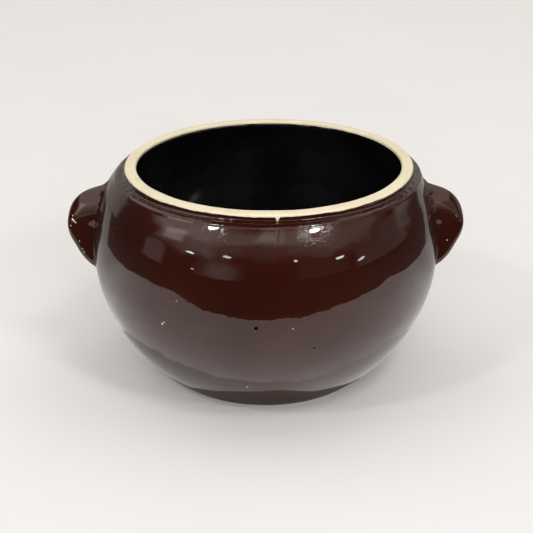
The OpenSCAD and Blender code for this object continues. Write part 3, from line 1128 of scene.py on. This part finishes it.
def room_world():
    world = bpy.data.worlds.new("dim_room")
    world.use_nodes = True
    tree = world.node_tree
    way = add(tree, "ShaderNodeTexCoord").outputs["Generated"]
    inputs = {"Vector": way, "Scale": CLOUD_SCALE, "Detail": CLOUD_DETAIL}
    cloud = add(tree, "ShaderNodeTexNoise", inputs).outputs["Color"]
    shake = vector_node(tree, "SUBTRACT", cloud, (0.5, 0.5, 0.5))
    bent = vector_node(tree, "MULTIPLY_ADD", shake, (ROOM_WOBBLE,) * 3, way)
    bent = vector_node(tree, "NORMALIZE", bent)
    parts = add(tree, "ShaderNodeSeparateXYZ", {0: bent}).outputs
    azimuth = math_node(tree, "ARCTAN2", parts["X"], math_node(tree, "MULTIPLY", parts["Y"], -1.0))
    azimuth = math_node(tree, "DEGREES", azimuth)
    elevation = math_node(tree, "DEGREES", math_node(tree, "ARCSINE", parts["Z"]))

    def between(value, span, soft):
        rise = remap(tree, value, span[0] - soft, span[0] + soft)
        fall = remap(tree, value, span[1] - soft, span[1] + soft, 1.0, 0.0)
        return math_node(tree, "MULTIPLY", rise, fall)

    total = ROOM_DIM
    for across, upward, soft, radiance in PANES:
        pane = math_node(tree, "MULTIPLY", between(azimuth, across, soft), between(elevation, upward, soft))
        total = math_node(tree, "MULTIPLY_ADD", pane, radiance, total)
    background = tree.nodes["Background"]
    background.inputs["Color"].default_value = ROOM_TONE
    tree.links.new(total, background.inputs["Strength"])
    return world


bpy.context.scene.world = room_world()


# Lamps
def toward(azimuth, elevation):
    """The way to a place in the room, by its azimuth from the front and its elevation."""
    a, e = math.radians(azimuth), math.radians(elevation)
    return Vector((math.sin(a) * math.cos(e), -math.cos(a) * math.cos(e), math.sin(e)))


def area_light(name, place, target, size, radiance, shape="RECTANGLE"):
    """A lamp whose face has the given radiance, whatever its width and height."""
    light = bpy.data.lights.new(name, "AREA")
    light.shape = shape
    light.size, light.size_y = size
    fullness = math.pi / 4 if shape == "ELLIPSE" else 1.0
    light.energy = radiance * size[0] * size[1] * fullness * math.pi
    lamp = add_object(name, light)
    lamp.location = place
    lamp.rotation_euler = (Vector(target) - Vector(place)).to_track_quat("-Z", "Y").to_euler()
    return lamp


# Broad lamps by name, place, target, width and height, and radiance, which the gloss does not show
LAMP_AIM = (0, 0, 0.06)
BROAD_LAMPS = [
    ("ceiling", (0, 1.2, 2.4), (0, 1.2, 0), (3.4, 3.4), 0.92),
    ("key", toward(28, 55) * 2.8, LAMP_AIM, (0.5, 0.5), 13.0),
    ("fill", toward(4, 24) * 4.4, LAMP_AIM, (3.4, 2.0), 4.1),
]
for lamp_values in BROAD_LAMPS:
    area_light(*lamp_values).visible_glossy = False

# Small lamps by the point of the glaze that mirrors them, the way from there, size and radiance
SMALL_LAMP_AWAY = 2.0
SMALL_LAMP_AIM = (0, 0, 0.1)
SMALL_LAMPS = [
    ((-28, -86, 121), (-0.519, -0.493, 0.698), (0.24, 0.17), 48.0),
    ((26, -88, 121), (0.494, -0.655, 0.572), (0.24, 0.17), 48.0),
    ((-41, -88, 109), (-0.76, -0.614, 0.214), (0.22, 0.045), 12.0),
    ((-21, -95, 109), (-0.417, -0.871, 0.262), (0.2, 0.045), 9.0),
    ((16, -96, 108), (0.327, -0.915, 0.235), (0.08, 0.05), 9.0),
    ((40, -89, 107), (0.747, -0.643, 0.166), (0.2, 0.05), 11.0),
    ((51, -84, 103), (0.895, -0.442, 0.06), (0.2, 0.06), 8.0),
    ((-39, -91, 101), (-0.733, -0.679, 0.049), (0.08, 0.03), 7.0),
]
for number, (start, way, size, radiance) in enumerate(SMALL_LAMPS):
    place = Vector(start) * MM + Vector(way) * SMALL_LAMP_AWAY
    area_light(f"lamp_{number}", place, SMALL_LAMP_AIM, size, radiance, "ELLIPSE")

# Camera
CAMERA_PLACE = (0.0, -0.82958, 0.41499)
CAMERA_TARGET = (0.0004, 0.0, 0.0636)
CAMERA_ROLL = -0.3
FOCAL_PIXELS = 1495.56
IMAGE_PIXELS = 533
SENSOR_WIDTH = 36.0
camera_data = bpy.data.cameras.new("camera")
camera_data.sensor_width = SENSOR_WIDTH
camera_data.lens = SENSOR_WIDTH * FOCAL_PIXELS / IMAGE_PIXELS
camera = add_object("camera", camera_data)
aim = (Vector(CAMERA_TARGET) - Vector(CAMERA_PLACE)).to_track_quat("-Z", "Y").to_matrix()
rolled_aim = aim @ Matrix.Rotation(math.radians(CAMERA_ROLL), 3, "Z")
camera.matrix_world = Matrix.Translation(CAMERA_PLACE) @ rolled_aim.to_4x4()
bpy.context.scene.camera = camera
bpy.context.scene.view_settings.view_transform = "Standard"
